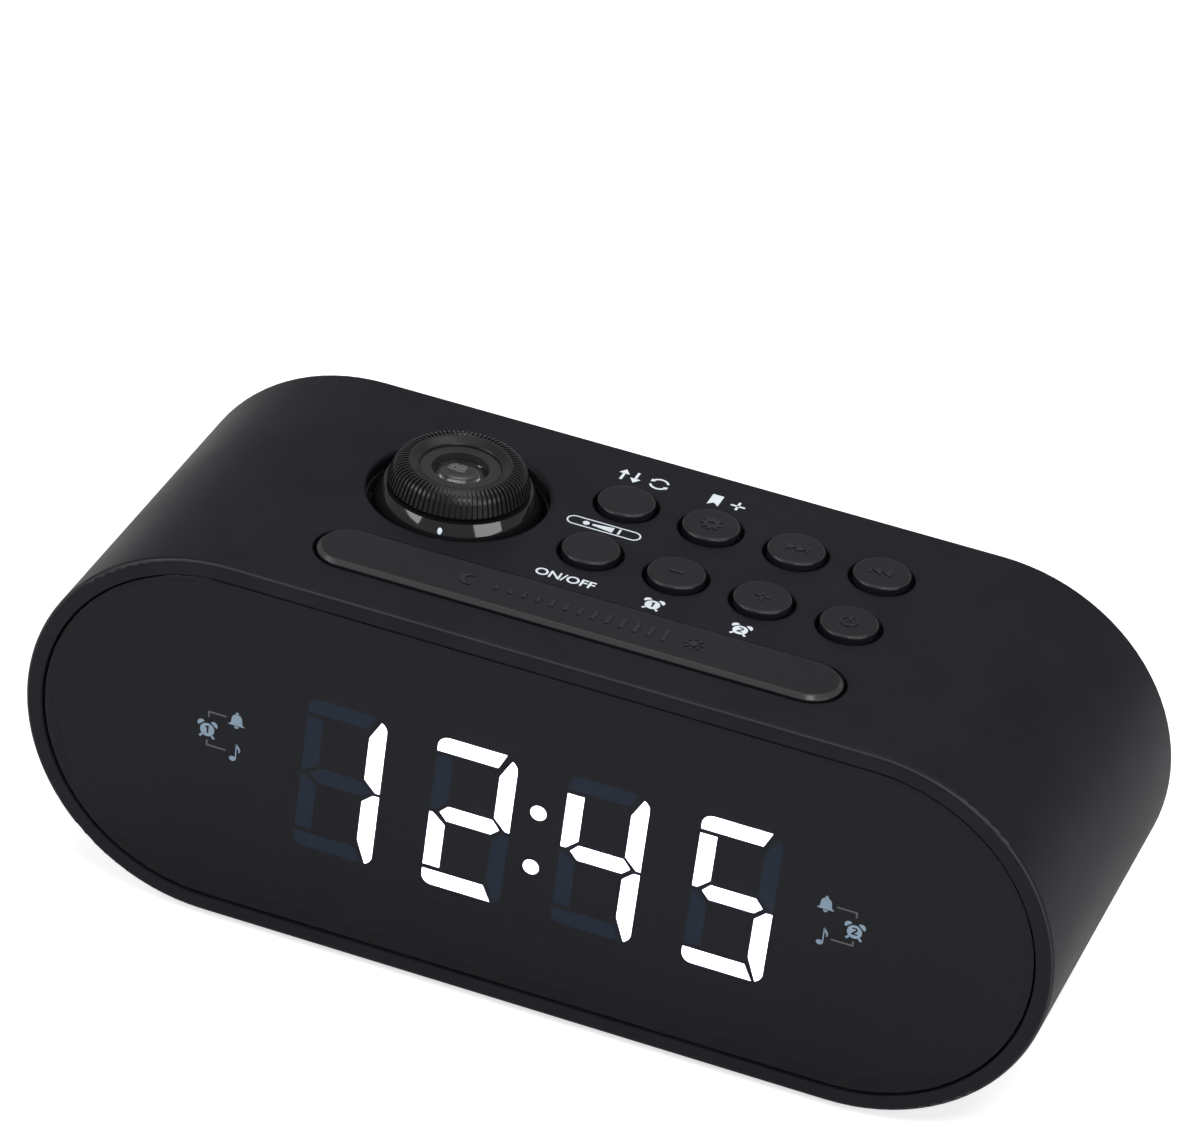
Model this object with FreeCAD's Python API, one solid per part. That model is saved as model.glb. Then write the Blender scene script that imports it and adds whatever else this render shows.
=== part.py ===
"""Projection alarm clock: a stadium-shaped case with a smoked front, a row of
top keys, a snooze bar and a swivelling projector head. Millimetres, +Z up.
The origin is under the middle of the case, on the surface that the feet stand on.
-Y is the front."""

import FreeCAD, Part
import math
import os

# Case
case_width = 184.0
case_height = 70.0
case_depth = 69.0
case_wall = 2.4
foot_proud = 1.6
front_edge_round = 0.9
back_edge_round = 0.6
running_gap = 0.05
seat_gap = 0.1

# Front window
rim_width = 3.0
lens_thickness = 2.0
lens_sink = 0.35
lens_gap = 0.3
ledge_width = 2.2
ledge_thickness = 1.5

# Display behind the window
mask_flange_thickness = 1.2
mask_flange_overlap = 1.4
digit_width = 14.4
digit_height = 30.0
digit_pitch = 23.5
display_x = 0.8
display_drop = 1.8
segment_width = 3.0
segment_gap = 0.8
segment_round = 1.9
digit_slant = 1.4
colon_radius = 1.45
colon_spread = 11.0
block_margin = 6.0
block_depth = 7.0
diffuser_depth = 1.6
led_size = 1.6
led_height = 0.8
board_thickness = 1.6
standoff_radius = 2.6
standoff_margin = 3.6
screw_radius = 1.2
screw_head_radius = 2.4
screw_head_height = 1.4
screw_bite = 6.0

# Top keys
key_pitch_x = 15.4
key_pitch_y = 17.2
key_columns = 4
key_rows = 2
well_to_keys = 5.4
top_row_share = 0.461
key_front_y = 0.0
key_radius = 5.0
key_gap = 0.8
key_proud = 1.1
key_round = 0.5
key_travel = 0.5
key_flange_width = 1.6
key_flange_thickness = 1.2
key_stem_radius = 1.6
key_stem_length = 2.5
plunger_radius = 1.75
plunger_exposed = 1.0
plunger_sink = 0.6
switch_size = 6.0
switch_height = 3.5

# Snooze bar
snooze_length = 93.0
snooze_width = 11.6
snooze_gap = 0.7
snooze_x = -0.45
snooze_y = -19.2
snooze_proud = 0.8
snooze_bevel = 0.7
snooze_stem_spread = 52.0

# Key board
key_board_strip_width = 13.4
board_edge = 0.6
key_board_overlap = 1.0
key_board_margin = 7.0
key_post_radius = 2.2
key_post_gap = 1.0
hole_gap = 0.2

# Projector head
head_y = 7.1
well_radius = 15.7
well_round = 0.8
ball_radius = 15.0
ball_depth = 6.55
ball_top = 7.8
ball_bottom = 9.0
ball_wall = 1.8
ball_gap = 0.5
web_thickness = 1.6
web_drop = 1.2
web_lap = 0.4
pin_radius = 1.6
pin_reach = 17.1
cup_wall = 1.9
cup_floor_drop = 14.0
cup_floor_thickness = 1.8
spindle_radius = 6.0
spindle_bore_radius = 4.0
bracket_thickness = 1.8
bracket_radius = 18.0
bracket_post_circle = 20.6
bracket_post_radius = 2.6
bracket_post_angles = (-45.0, 50.0, 185.0)
clip_thickness = 0.8
clip_reach = 2.0
clip_groove = 0.6

# Focus ring and optics
ring_base_radius = 12.3
ring_base_lift = 0.4
ring_height = 4.2
ring_top_radius = 8.8
ring_side_height = 2.6
ring_side_radius = 11.6
ring_ribs = 80
ring_groove_depth = 0.35
ring_hub_radius = 9.5
ring_hub_depth = 2.8
barrel_radius = 7.0
barrel_bore_radius = 5.2
barrel_length = 9.6
barrel_sink = 1.2
key_tab_width = 2.0
key_tab_reach = 1.0
guide_wall = 1.6
guide_height = 4.0
optic_radius = 4.9
optic_thickness = 2.4
optic_dome = 0.8
optic_sink = 0.5
optic_seat_width = 0.9
shroud_depth = 5.8
shroud_wall = 1.3
condenser_thickness = 2.4
condenser_dome = 0.7
slide_size = 10.2
slide_thickness = 1.1
lamp_board_thickness = 1.2
lamp_size = 3.4
lamp_height = 1.4

# Rear cover
cover_thickness = 2.4
cover_sink = 0.4
cover_lip = 1.3
cover_boss_radius = 3.0
cover_boss_length = 7.0
cover_screw_inset = 7.0
grille_hole_radius = 0.95
grille_pitch = 3.9
grille_rings = 4

# Speaker
speaker_inset = 11.0
speaker_radius = 19.0
speaker_flange = 1.0
speaker_depth = 9.0
speaker_seat_wall = 1.4
speaker_seat_depth = 2.4
magnet_radius = 9.5
magnet_depth = 6.0
cone_thickness = 0.5
cone_rim_inset = 4.4
cone_roll_width = 2.2
cone_roll_rise = 0.7
cone_neck_radius = 5.0
cone_base_lift = 2.5
cone_rim_depth = 1.6
basket_rim_width = 2.2
basket_sheet = 0.8
basket_bore_radius = 4.0

# Main board, supply inlet and aerial outlet
board_past_flat = 1.0
board_over_tray = 0.6
board_front_inset = 20.5
board_back_gap = 4.7
board_lift = 6.5
board_post_inset = 3.5
chip_sizes = ((14.0, 14.0, 1.6), (7.0, 5.0, 1.4), (6.0, 5.0, 1.4))
controller_left = 1.5
controller_forward = 2.5
tuner_inset = 21.0
tuner_backward = 3.5
amplifier_left = 23.5
amplifier_forward = 10.5
capacitor_sizes = ((3.2, 7.0), (3.2, 7.0), (2.5, 5.5))
capacitor_round = 0.4
inlet_to_can = 14.0
can_pitch = 8.0
can_back_inset = 9.0
output_can_inset = 11.0
header_lengths = (16.0, 12.0, 5.0)
header_front_inset = 4.5
display_header_right = 10.5
key_header_left = 11.5
speaker_header_inset = 7.0
header_width = 4.8
header_height = 5.0
header_wall = 0.8
header_floor = 1.2
inlet_inset = 18.0
inlet_width = 9.0
inlet_height = 11.0
inlet_length = 13.5
inlet_bore_radius = 2.9
inlet_bore_depth = 9.0
inlet_axis_height = 6.0
inlet_pin_radius = 1.0
inlet_pin_short = 0.8
sleeve_lap = 1.0
recess_radius = 5.0
recess_depth = 5.0
recess_wall = 1.4
inlet_to_aerial = 18.0
aerial_drop = 14.0
grommet_radius = 2.4
grommet_flange = 1.1
grommet_bore_radius = 0.9

# Battery bay and feet
door_length = 34.0
door_width = 26.0
door_thickness = 1.4
door_gap = 0.2
bay_ledge = 1.6
cell_radius = 10.0
cell_thickness = 3.2
cell_gap = 0.3
cell_lift = 0.2
cell_lid_inset = 1.2
cell_can_share = 0.85
tray_wall = 1.6
tray_side = 1.0
tray_to_curve = 0.6
door_screw_inset = 4.6
door_screw_bite = 3.0
contact_thickness = 0.3
contact_width = 6.0
foot_radius = 6.0
foot_sink = 0.8
foot_edge_round = 0.5
foot_inset = 9.0
foot_y = 23.0

# Places worked out from the sizes above
front = -case_depth / 2
back = case_depth / 2
bottom = foot_proud
top = bottom + case_height
middle = bottom + case_height / 2
flat_half = (case_width - case_height) / 2
floor_inside = bottom + case_wall
roof_inside = top - case_wall
lens_front = front + lens_sink
lens_back = lens_front + lens_thickness
ledge_back = lens_back + ledge_thickness
mask_front = lens_back + seat_gap
mask_back = ledge_back + mask_flange_thickness
display_z = middle - display_drop
block_front = mask_front
block_back = block_front + block_depth
display_board_back = block_back + board_thickness
cover_back = back - cover_sink
cover_front = cover_back - cover_thickness
flange_bottom = roof_inside - key_flange_thickness
plunger_top = flange_bottom - key_stem_length
switch_top = plunger_top - plunger_exposed
key_board_top = switch_top - switch_height
key_board_bottom = key_board_top - board_thickness
key_hole_radius = key_radius + key_gap
top_row_length = 2 * well_radius + well_to_keys + 2 * key_hole_radius + (key_columns - 1) * key_pitch_x
top_row_left = -flat_half + top_row_share * (2 * flat_half - top_row_length)
head_x = top_row_left + well_radius
key_first_x = head_x + well_radius + well_to_keys + key_hole_radius
ball_z = top - ball_depth
cup_top = roof_inside - 2 * seat_gap
cup_inner = ball_radius + ball_gap
cup_outer = cup_inner + cup_wall
cup_floor_top = ball_z - cup_floor_drop
cup_bottom = cup_floor_top - cup_floor_thickness
bracket_top = cup_bottom - 2 * seat_gap
bracket_bottom = bracket_top - bracket_thickness
spindle_bottom = bracket_bottom - 3 * clip_thickness
ring_base = ball_z + ball_top + ring_base_lift
barrel_top = ring_base + ring_height - barrel_sink
web_bottom = ball_z - web_drop
shroud_bottom = web_bottom - shroud_depth
block_width = 3 * digit_pitch + digit_width + 2 * block_margin
block_height = digit_height + block_margin
snooze_end = snooze_length / 2 + snooze_gap + key_flange_width
tray_half = door_length / 2 + tray_side
bay_x = flat_half - tray_to_curve - tray_half
foot_x = flat_half - foot_inset
cover_screw_x = flat_half - cover_screw_inset
board_left = -flat_half - board_past_flat
board_right = bay_x - tray_half + board_over_tray
board_front = front + board_front_inset
board_back = cover_front - board_back_gap
board_x = (board_left + board_right) / 2
board_y = (board_front + board_back) / 2
inlet_x = board_left + inlet_inset
aerial_x = inlet_x - inlet_to_aerial
speaker_x = flat_half - speaker_inset
main_board_bottom = floor_inside + board_lift
main_board_top = main_board_bottom + board_thickness
inlet_z = main_board_top + inlet_axis_height
sleeve_front = cover_back - recess_depth - sleeve_lap
inlet_back = sleeve_front - 2 * seat_gap
aerial_z = middle - aerial_drop
tray_bottom = floor_inside
tray_height = cell_thickness + 2 * contact_thickness + tray_wall + 2 * cell_lift
cell_x = bay_x - door_length / 2 + bay_ledge + cell_radius + 3 * cell_gap
door_screw_x = bay_x + door_length / 2 - door_screw_inset


def vector(x, y, z):
    return FreeCAD.Vector(x, y, z)


def block(x0, x1, y0, y1, z0, z1):
    return Part.makeBox(x1 - x0, y1 - y0, z1 - z0, vector(x0, y0, z0))


def rod_z(x, y, z0, z1, radius):
    return Part.makeCylinder(radius, z1 - z0, vector(x, y, z0), vector(0, 0, 1))


def rod_y(x, z, y0, y1, radius):
    return Part.makeCylinder(radius, y1 - y0, vector(x, y0, z), vector(0, 1, 0))


def join(shapes):
    """One solid from shapes that touch or overlap."""
    first = shapes[0]
    if len(shapes) > 1:
        first = first.fuse(shapes[1:])
    return first.removeSplitter()


def group(shapes):
    """Separate solids that share a node."""
    return Part.makeCompound(shapes)


def stadium_wire(length, width):
    """Two straight runs and two half circles, centred on the origin in XY."""
    radius = width / 2
    half = length / 2 - radius
    low = Part.LineSegment(vector(-half, -radius, 0), vector(half, -radius, 0))
    right = Part.Arc(vector(half, -radius, 0), vector(half + radius, 0, 0), vector(half, radius, 0))
    high = Part.LineSegment(vector(half, radius, 0), vector(-half, radius, 0))
    left = Part.Arc(vector(-half, radius, 0), vector(-half - radius, 0, 0), vector(-half, -radius, 0))
    return Part.Wire([piece.toShape() for piece in (low, right, high, left)])


def stadium_y(inset, y0, y1):
    """The case's outline, drawn in by inset, as a solid from y0 to y1."""
    face = Part.Face(stadium_wire(case_width - 2 * inset, case_height - 2 * inset))
    face.rotate(vector(0, 0, 0), vector(1, 0, 0), 90)
    face.translate(vector(0, y0, middle))
    return face.extrude(vector(0, y1 - y0, 0))


def stadium_z(length, width, x, y, z0, z1):
    face = Part.Face(stadium_wire(length, width))
    face.translate(vector(x, y, z0))
    return face.extrude(vector(0, 0, z1 - z0))


def turned(start, steps):
    """A solid of revolution about Z. Points are (radius, height); a step with
    two points is an arc through the first to the second."""
    edges = []
    here = start
    for step in steps + [(start,)]:
        end = step[-1]
        if len(step) == 2:
            through = step[0]
            arc = Part.Arc(vector(here[0], 0, here[1]), vector(through[0], 0, through[1]),
                           vector(end[0], 0, end[1]))
            edges.append(arc.toShape())
        else:
            edges.append(Part.LineSegment(vector(here[0], 0, here[1]), vector(end[0], 0, end[1])).toShape())
        here = end
    face = Part.Face(Part.Wire(edges))
    return face.revolve(vector(0, 0, 0), vector(0, 0, 1), 360)


def at_head(shape, z):
    """Moves a turned shape onto the projector's upright axis, at height z."""
    shape.translate(vector(head_x, head_y, z))
    return shape


def rounded(shape, radius, z):
    """Rounds every edge that lies at height z."""
    edges = [edge for edge in shape.Edges if all(abs(v.Z - z) < 1e-6 for v in edge.Vertexes)]
    return shape.makeFillet(radius, edges)


def screw(x, y, z, direction, length):
    """A pan-headed screw whose head rests at the point and whose shank runs along direction."""
    axis = vector(*direction)
    point = vector(x, y, z)
    head = Part.makeCylinder(screw_head_radius, screw_head_height, point, axis * -1)
    shank = Part.makeCylinder(screw_radius, length, point, axis)
    recess_start = point - axis * screw_head_height
    recess = Part.makeCylinder(screw_radius * 0.8, screw_head_height / 2, recess_start, axis)
    return join([head, shank]).cut(recess)


def key_places():
    """Centres of the round keys, front row first, left to right."""
    return [(key_first_x + column * key_pitch_x, key_front_y + row * key_pitch_y)
            for row in range(key_rows) for column in range(key_columns)]


def snooze_stem_places():
    return [(snooze_x + side * snooze_stem_spread / 2, snooze_y) for side in (-1, 1)]


def key_post_places():
    """Two posts among the keys and one past each end of the snooze bar."""
    between_y = key_front_y + key_pitch_y / 2
    past = snooze_end + key_post_radius + key_post_gap
    return [(key_first_x + key_pitch_x / 2, between_y),
            (key_first_x + (key_columns - 1.5) * key_pitch_x, between_y),
            (snooze_x - past, snooze_y),
            (snooze_x + past, snooze_y)]


def bracket_post_places():
    return [(head_x + bracket_post_circle * math.cos(math.radians(angle)),
             head_y + bracket_post_circle * math.sin(math.radians(angle)))
            for angle in bracket_post_angles]


def cover_screw_places():
    reach = case_height / 2 - case_wall - cover_boss_radius + 0.5
    return [(x, middle + side * reach) for x in (-cover_screw_x, cover_screw_x) for side in (-1, 1)]


def main_post_places():
    return [(x, y) for x in (board_left + board_post_inset, board_right - board_post_inset)
            for y in (board_front + board_post_inset, board_back - board_post_inset)]


def foot_places():
    return [(x, y) for x in (-foot_x, foot_x) for y in (-foot_y, foot_y)]


def standoff_places():
    x = block_width / 2 + standoff_margin
    z = block_height / 2 - standoff_radius
    return [(display_x + i * x, display_z + j * z) for i in (-1, 1) for j in (-1, 1)]


def bay_box(grow, z0, z1):
    half_x = door_length / 2 + grow
    half_y = door_width / 2 + grow
    return block(bay_x - half_x, bay_x + half_x, -half_y, half_y, z0, z1)


def main_shell():
    """The tube of the case, with its rim, ledge, key holes, well, bay and bosses."""
    shell = stadium_y(0, front, back)
    front_edges = [e for e in shell.Edges if all(abs(v.Y - front) < 1e-6 for v in e.Vertexes)]
    shell = shell.makeFillet(front_edge_round, front_edges)
    back_edges = [e for e in shell.Edges if all(abs(v.Y - back) < 1e-6 for v in e.Vertexes)]
    shell = shell.makeFillet(back_edge_round, back_edges)
    shell = shell.cut(stadium_y(rim_width, front - 1, lens_back))
    shell = shell.cut(stadium_y(rim_width + ledge_width, front, ledge_back + 1))
    shell = shell.cut(stadium_y(case_wall, ledge_back, back + 1))
    shell = shell.cut(stadium_y(cover_lip, cover_front, back + 1))
    added = []
    for x, z in cover_screw_places():
        added.append(rod_y(x, z, cover_front - cover_boss_length, cover_front, cover_boss_radius))
    for x, y in key_post_places():
        added.append(rod_z(x, y, key_board_top, roof_inside + 0.5, key_post_radius))
    for x, y in bracket_post_places():
        added.append(rod_z(x, y, bracket_top, roof_inside + 0.5, bracket_post_radius))
    for x, y in main_post_places():
        added.append(rod_z(x, y, floor_inside - 0.5, main_board_bottom, key_post_radius))
    shell = join([shell] + added)
    holes = [snooze_solid(snooze_gap, roof_inside - 1, top + 1)]
    for x, y in key_places():
        holes.append(rod_z(x, y, roof_inside - 1, top + 1, key_hole_radius))
    holes.append(rod_z(head_x, head_y, roof_inside - 1, top + 1, well_radius))
    for x, z in cover_screw_places():
        holes.append(rod_y(x, z, cover_front - screw_bite - 0.5, cover_front + 1, screw_radius + running_gap))
    for x, y in key_post_places():
        holes.append(rod_z(x, y, key_board_top - 1, key_board_top + screw_bite, screw_radius + running_gap))
    for x, y in bracket_post_places():
        holes.append(rod_z(x, y, bracket_top - 1, bracket_top + screw_bite, screw_radius + running_gap))
    for x, y in main_post_places():
        holes.append(rod_z(x, y, main_board_bottom - screw_bite, main_board_bottom + 1,
                           screw_radius + running_gap))
    for x, y in foot_places():
        holes.append(rod_z(x, y, bottom - 1, bottom + foot_sink, foot_radius + seat_gap))
    holes.append(bay_box(door_gap, bottom - 1, bottom + door_thickness + seat_gap))
    holes.append(bay_box(-bay_ledge, bottom, floor_inside + 1))
    shell = shell.cut(Part.makeCompound(holes))
    rim = [e for e in shell.Edges
           if len(e.Vertexes) == 1 and abs(e.Vertexes[0].Z - top) < 1e-6
           and abs(e.Length - 2 * math.pi * well_radius) < 0.01]
    return shell.makeFillet(well_round, rim)


def display_lens():
    """The smoked window, let into the rim."""
    lens = stadium_y(rim_width + lens_gap, lens_front, lens_back)
    edges = [e for e in lens.Edges if all(abs(v.Y - lens_front) < 1e-6 for v in e.Vertexes)]
    return lens.makeFillet(0.3, edges)


def display_mask():
    """Black plate behind the window that carries the display block."""
    plate = stadium_y(rim_width + ledge_width + seat_gap, mask_front, mask_back)
    flange_inset = rim_width + ledge_width - mask_flange_overlap
    plate = join([plate, stadium_y(flange_inset, ledge_back + seat_gap, mask_back)])
    posts = [rod_y(x, z, mask_back - 0.5, block_back, standoff_radius) for x, z in standoff_places()]
    plate = join([plate] + posts)
    half_width = block_width / 2 + seat_gap
    half_height = block_height / 2 + seat_gap
    cuts = [block(display_x - half_width, display_x + half_width, mask_front - 1, block_back + 1,
                  display_z - half_height, display_z + half_height)]
    for x, z in standoff_places():
        cuts.append(rod_y(x, z, block_back - screw_bite + 1, block_back + 1, screw_radius + running_gap))
    return plate.cut(Part.makeCompound(cuts))


def corner_points(x, z, radius, start, end):
    """Points along a rounded corner, about its centre, between two angles in degrees."""
    steps = 5
    angles = [math.radians(start + (end - start) * number / steps) for number in range(steps + 1)]
    return [(x + radius * math.cos(angle), z + radius * math.sin(angle)) for angle in angles]


def segment_outlines():
    """Corner points of a digit's seven segments about its middle, before the slant.
    The bars close the rounded left corners, and the right corners are cut slanting."""
    outer_x = digit_width / 2
    outer_z = digit_height / 2
    inner_x = outer_x - segment_width
    inner_z = outer_z - segment_width
    half = segment_width / 2
    gap = segment_gap
    turn_x = outer_x - segment_round
    turn_z = outer_z - segment_round
    top_bar = corner_points(-turn_x, turn_z, segment_round, 180, 90) + [
        (outer_x - 0.7 * segment_width, outer_z), (inner_x - gap / 2, inner_z), (-outer_x, inner_z)]
    bottom_bar = corner_points(-turn_x, -turn_z, segment_round, 180, 270) + [
        (outer_x - 0.6 * segment_width, -outer_z), (inner_x - gap / 2, -inner_z), (-outer_x, -inner_z)]
    upper_right = corner_points(turn_x, turn_z - gap, segment_round, 0, 65) + [
        (inner_x, inner_z - 2 * gap), (inner_x, 2.5 * gap), (outer_x - gap, -gap / 4),
        (outer_x, -gap / 4)]
    lower_right = corner_points(turn_x, -turn_z, segment_round, 0, -68) + [
        (inner_x, -inner_z + 2 * gap), (inner_x, -3.2 * gap), (outer_x - 1.4 * gap, -gap),
        (outer_x, -gap)]
    upper_left = [(-outer_x, inner_z - gap), (-inner_x, inner_z - gap), (-inner_x, 2.8 * gap),
                  (-outer_x + 1.2 * gap, gap / 2), (-outer_x, gap / 2)]
    lower_left = [(-outer_x, -inner_z + gap), (-inner_x, -inner_z + gap), (-inner_x, -3 * gap),
                  (-outer_x + 0.8 * gap, -gap / 2), (-outer_x, -gap / 2)]
    cross = [(-inner_x - 1.5 * gap, 0), (-inner_x + gap / 4, half), (inner_x - gap / 4, half),
             (inner_x + 1.5 * gap, -gap / 4), (inner_x - gap / 4, -half), (-inner_x + gap / 4, -half)]
    return [top_bar, upper_right, lower_right, bottom_bar, lower_left, upper_left, cross]


def digit_places():
    return [display_x + (number - 1.5) * digit_pitch for number in range(4)]


def segment_prisms(y0, y1):
    """All the segments and the two colon dots as prisms from y0 to y1."""
    lean = math.tan(math.radians(digit_slant))
    prisms = []
    for x in digit_places():
        for outline in segment_outlines():
            corners = [vector(x + px + pz * lean, y0, display_z + pz) for px, pz in outline]
            face = Part.Face(Part.makePolygon(corners + corners[:1]))
            prisms.append(face.extrude(vector(0, y1 - y0, 0)))
    for side in (-1, 1):
        prisms.append(rod_y(display_x + side * lean * colon_spread / 2,
                            display_z + side * colon_spread / 2, y0, y1, colon_radius))
    return prisms


def display_block():
    """Black block with a light shaft behind every segment."""
    body = block(display_x - block_width / 2, display_x + block_width / 2, block_front, block_back,
                 display_z - block_height / 2, display_z + block_height / 2)
    return body.cut(Part.makeCompound(segment_prisms(block_front - 1, block_back + 1)))


def segment_diffusers():
    """Milky fillings at the mouths of the light shafts."""
    return group(segment_prisms(block_front, block_front + diffuser_depth))


def display_leds():
    """One light chip in the middle of every shaft, on the display board."""
    half = led_size / 2
    chips = []
    for prism in segment_prisms(block_front, block_back):
        centre = prism.CenterOfMass
        chips.append(block(centre.x - half, centre.x + half, block_back - led_height, block_back,
                           centre.z - half, centre.z + half))
    return group(chips)


def display_board():
    margin = standoff_margin + standoff_radius
    board = block(display_x - block_width / 2 - margin, display_x + block_width / 2 + margin,
                  block_back, display_board_back, display_z - block_height / 2,
                  display_z + block_height / 2)
    holes = [rod_y(x, z, block_back - 1, display_board_back + 1, screw_radius + hole_gap)
             for x, z in standoff_places()]
    return board.cut(Part.makeCompound(holes))


def display_screws():
    return group([screw(x, display_board_back, z, (0, -1, 0), board_thickness + screw_bite - 2)
                  for x, z in standoff_places()])


def grille_places():
    """Holes in rings around the speaker's middle."""
    places = [(speaker_x, middle)]
    for ring in range(1, grille_rings + 1):
        for number in range(6 * ring):
            angle = 2 * math.pi * number / (6 * ring)
            places.append((speaker_x + ring * grille_pitch * math.cos(angle),
                           middle + ring * grille_pitch * math.sin(angle)))
    return places


def rear_cover():
    """Back plate with the grille, the supply recess, the aerial hole and the speaker's seat."""
    plate = stadium_y(cover_lip + seat_gap, cover_front, cover_back)
    seat = rod_y(speaker_x, middle, cover_front - speaker_seat_depth, cover_front + 0.5,
                 speaker_radius + seat_gap + speaker_seat_wall)
    seat = seat.cut(rod_y(speaker_x, middle, cover_front - speaker_seat_depth - 1, cover_front,
                          speaker_radius + seat_gap))
    sleeve = rod_y(inlet_x, inlet_z, sleeve_front, cover_back - 0.5, recess_radius + recess_wall)
    plate = join([plate, seat, sleeve])
    holes = [rod_y(x, z, cover_front - 1, cover_back + 1, grille_hole_radius) for x, z in grille_places()]
    holes.append(rod_y(inlet_x, inlet_z, cover_back - recess_depth, cover_back + 1, recess_radius))
    holes.append(rod_y(inlet_x, inlet_z, sleeve_front - 1, cover_back, inlet_bore_radius + 2 * hole_gap))
    holes.append(rod_y(aerial_x, aerial_z, cover_front - 1, cover_back + 1, grommet_radius + seat_gap))
    for x, z in cover_screw_places():
        holes.append(rod_y(x, z, cover_front - 1, cover_back + 1, screw_radius + hole_gap))
        holes.append(rod_y(x, z, cover_back - screw_head_height, cover_back + 1,
                           screw_head_radius + hole_gap))
    return plate.cut(Part.makeCompound(holes))


def rear_cover_screws():
    return group([screw(x, cover_back - screw_head_height, z, (0, -1, 0),
                        cover_thickness - screw_head_height + screw_bite - 0.5)
                  for x, z in cover_screw_places()])


def aerial_grommet():
    """Rubber bush where the aerial wire leaves."""
    stem = rod_y(aerial_x, aerial_z, cover_front - 0.6, cover_back, grommet_radius)
    inner = rod_y(aerial_x, aerial_z, cover_front - 0.9, cover_front, grommet_radius + grommet_flange)
    outer = rod_y(aerial_x, aerial_z, cover_back, back, grommet_radius + grommet_flange)
    hole = rod_y(aerial_x, aerial_z, cover_front - 2, back + 1, grommet_bore_radius)
    return join([stem, inner, outer]).cut(hole)


def turned_y(start, steps, x, z, y):
    """A turned solid laid along -Y from the plane y."""
    shape = turned(start, steps)
    shape.rotate(vector(0, 0, 0), vector(1, 0, 0), 90)
    shape.translate(vector(x, y, z))
    return shape


def speaker_basket():
    """Pressed frame: a flange and a tapering skirt down to the magnet."""
    inner = speaker_radius - basket_rim_width
    waist = magnet_radius + basket_sheet
    floor = speaker_depth - basket_sheet
    return turned_y((inner, 0), [((speaker_radius, 0),), ((speaker_radius, speaker_flange),),
                                 ((inner + basket_sheet, speaker_flange),), ((waist, speaker_depth),),
                                 ((basket_bore_radius, speaker_depth),), ((basket_bore_radius, floor),),
                                 ((waist - basket_sheet, floor),)],
                    speaker_x, middle, cover_front)


def speaker_magnet():
    return rod_y(speaker_x, middle, cover_front - speaker_depth - magnet_depth,
                 cover_front - speaker_depth, magnet_radius)


def speaker_cone():
    """Paper cone with a domed dust cap and a roll at its edge."""
    outer = speaker_radius - cone_rim_inset
    roll_middle = outer - cone_roll_width / 2
    deep = speaker_depth - cone_base_lift
    crest = cone_rim_depth - cone_roll_rise
    cap_rise = cone_neck_radius * 0.4
    return turned_y((0, deep - cap_rise), [
        ((cone_neck_radius * 0.6, deep - cap_rise * 0.75), (cone_neck_radius, deep)),
        ((outer - cone_roll_width, cone_rim_depth),), ((roll_middle, crest), (outer, cone_rim_depth)),
        ((outer, cone_rim_depth + cone_thickness),),
        ((roll_middle, crest + cone_thickness),
         (outer - cone_roll_width, cone_rim_depth + 2 * cone_thickness)),
        ((cone_neck_radius, deep + 2 * cone_thickness),), ((0, deep + 2 * cone_thickness),)],
                    speaker_x, middle, cover_front)


def main_board():
    board = block(board_left, board_right, board_front, board_back, main_board_bottom, main_board_top)
    holes = [rod_z(x, y, main_board_bottom - 1, main_board_top + 1, screw_radius + hole_gap)
             for x, y in main_post_places()]
    return board.cut(Part.makeCompound(holes))


def main_board_screws():
    return group([screw(x, y, main_board_top, (0, 0, -1), board_thickness + screw_bite - 2)
                  for x, y in main_post_places()])


def chip_places():
    """The clock controller, the radio tuner and the audio amplifier."""
    return [(board_x - controller_left, board_y - controller_forward),
            (board_right - tuner_inset, board_y + tuner_backward),
            (board_x - amplifier_left, board_y - amplifier_forward)]


def board_chips():
    chips = []
    for (x, y), (length, width, height) in zip(chip_places(), chip_sizes):
        chips.append(block(x - length / 2, x + length / 2, y - width / 2, y + width / 2,
                           main_board_top, main_board_top + height))
    return group(chips)


def board_capacitors():
    """Two smoothing cans by the inlet and one by the amplifier's outlet."""
    can_y = board_back - can_back_inset
    places = [(inlet_x + inlet_to_can, can_y), (inlet_x + inlet_to_can + can_pitch, can_y),
              (board_right - output_can_inset, board_y - amplifier_forward)]
    cans = []
    for (x, y), (radius, height) in zip(places, capacitor_sizes):
        can = rod_z(x, y, main_board_top, main_board_top + height, radius)
        cans.append(rounded(can, capacitor_round, main_board_top + height))
    return group(cans)


def board_connectors():
    """Headers for the display, key board and speaker leads."""
    front_y = board_front + header_front_inset
    places = [(board_x + display_header_right, front_y), (board_x - key_header_left, front_y),
              (board_right - speaker_header_inset, board_y)]
    headers = []
    for (x, y), length in zip(places, header_lengths):
        half_x = length / 2
        half_y = header_width / 2
        body = block(x - half_x, x + half_x, y - half_y, y + half_y, main_board_top,
                     main_board_top + header_height)
        pocket = block(x - half_x + header_wall, x + half_x - header_wall, y - half_y + header_wall,
                       y + half_y - header_wall, main_board_top + header_floor,
                       main_board_top + header_height + 1)
        headers.append(body.cut(pocket))
    return group(headers)


def supply_inlet():
    """Barrel socket on the main board's back edge."""
    y0 = inlet_back - inlet_length
    body = block(inlet_x - inlet_width / 2, inlet_x + inlet_width / 2, y0, inlet_back,
                 main_board_top, main_board_top + inlet_height)
    return body.cut(rod_y(inlet_x, inlet_z, inlet_back - inlet_bore_depth, inlet_back + 1, inlet_bore_radius))


def supply_pin():
    """Centre contact of the barrel socket."""
    return rod_y(inlet_x, inlet_z, inlet_back - inlet_bore_depth, inlet_back - inlet_pin_short,
                 inlet_pin_radius)


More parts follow.
